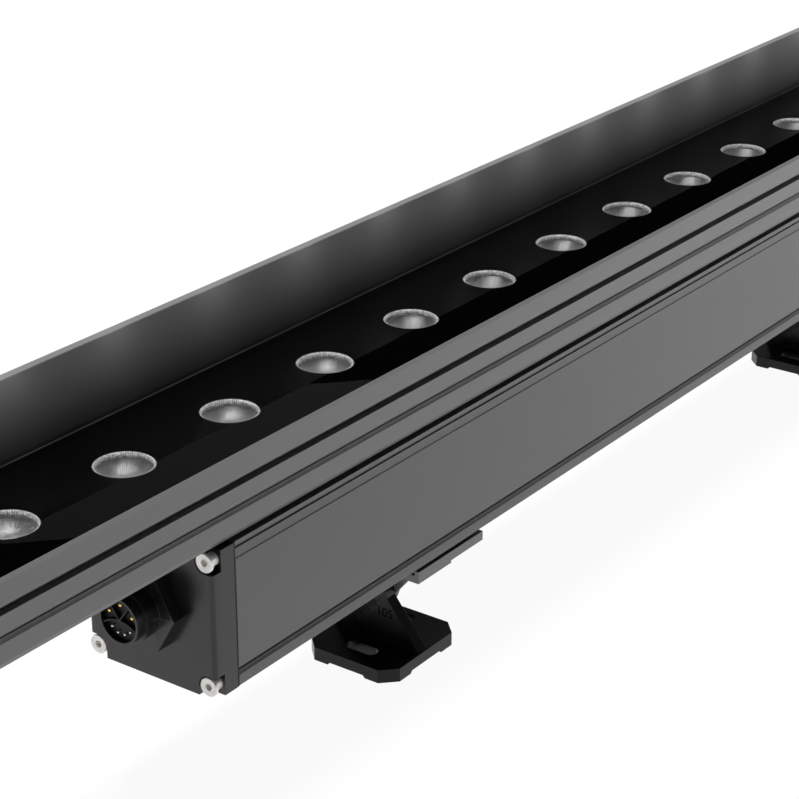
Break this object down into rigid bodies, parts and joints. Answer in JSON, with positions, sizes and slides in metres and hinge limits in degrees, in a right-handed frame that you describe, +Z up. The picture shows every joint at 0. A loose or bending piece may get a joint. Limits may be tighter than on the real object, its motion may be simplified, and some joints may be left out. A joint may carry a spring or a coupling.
{
  "type": "outdoor linear wall washer light",
  "caption": "Linear outdoor wall washer with eighteen lenses under a clear glass, an anti-glare visor, a driver housing with round connectors and two tilting, sliding feet.",
  "frame": {"origin": "on the ground under the middle of the lamp, halfway between the near side of the body and the far edge of the visor", "axes": "+X along the lamp towards the outlet end, +Y towards the visor side, +Z up"},
  "size_m": [1, 0.0642, 0.1677],
  "materials": {
    "grey_coat": "grey powder coat with a fine grain over extruded aluminium",
    "black_coat": "satin black coat over aluminium",
    "steel": "plain stainless steel",
    "clear_glass": "clear toughened glass",
    "clear_lens": "clear moulded plastic",
    "black_plate": "matt black plate",
    "black_plastic": "matt black plastic",
    "white_plastic": "matt white plastic",
    "phosphor": "yellow phosphor under clear resin",
    "seal_rubber": "matt black rubber",
    "gold_contact": "gold-plated brass",
    "green_board": "green circuit board",
    "dark_core": "dark core and taped winding",
    "blue_sleeve": "blue shrink sleeve",
    "copper_wire": "enamelled copper wire",
    "red_sleeve": "red wire sleeve"
  },
  "bodies": {
    "lamp": {"tray": "grey_coat", "visor": "grey_coat", "visor_screws": "steel", "cover_glass": "clear_glass", "window_plate": "black_plate", "glass_gasket": "seal_rubber", "lenses": "clear_lens", "lens_holders": "white_plastic", "led_boards": "white_plastic", "leds": "phosphor", "board_screws": "steel", "tray_end_left": "black_coat", "tray_end_right": "black_coat", "tray_seal_left": "seal_rubber", "tray_seal_right": "seal_rubber", "tray_end_screws": "steel", "driver_housing": "grey_coat", "joining_screws": "steel", "housing_cap_left": "black_coat", "housing_cap_right": "black_coat", "cap_seal_left": "seal_rubber", "cap_seal_right": "seal_rubber", "cap_screws": "steel", "inlet_shell": "black_coat", "inlet_seal": "seal_rubber", "inlet_lock_nut": "steel", "inlet_insert": "black_plastic", "inlet_power_pins": "gold_contact", "inlet_signal_pins": "steel", "outlet_shell": "black_coat", "outlet_seal": "seal_rubber", "outlet_lock_nut": "steel", "outlet_insert": "black_plastic", "outlet_contacts": "gold_contact", "driver_board": "green_board", "driver_transformer": "dark_core", "driver_capacitors": "blue_sleeve", "driver_chokes": "copper_wire", "driver_terminals": "white_plastic", "input_leads": "red_sleeve", "output_leads": "red_sleeve", "led_leads": "red_sleeve", "wire_grommet": "seal_rubber"},
    "left_bracket": {"clamp_plate_left": "grey_coat", "slot_nuts_left": "steel", "clamp_screws_left": "steel", "pivot_washer_left": "steel"},
    "right_bracket": {"clamp_plate_right": "grey_coat", "slot_nuts_right": "steel", "clamp_screws_right": "steel", "pivot_washer_right": "steel"},
    "left_foot": {"foot_left": "black_coat", "pivot_bolt_left": "steel"},
    "right_foot": {"foot_right": "black_coat", "pivot_bolt_right": "steel"}
  },
  "joints": [
    {"name": "left_bracket_slide", "type": "slide", "parent": "lamp", "child": "left_bracket", "axis": [1, 0, 0], "range_m": [-0.09, 0.15]},
    {"name": "left_foot_tilt", "type": "hinge", "parent": "left_bracket", "child": "left_foot", "pos_m": [-0.2125, -0.00275, 0.0259], "axis": [1, 0, 0], "range_deg": [-75, 75]},
    {"name": "right_bracket_slide", "type": "slide", "parent": "lamp", "child": "right_bracket", "axis": [1, 0, 0], "range_m": [-0.15, 0.09]},
    {"name": "right_foot_tilt", "type": "hinge", "parent": "right_bracket", "child": "right_foot", "pos_m": [0.1695, -0.00275, 0.0259], "axis": [1, 0, 0], "range_deg": [-75, 75]}
  ]
}
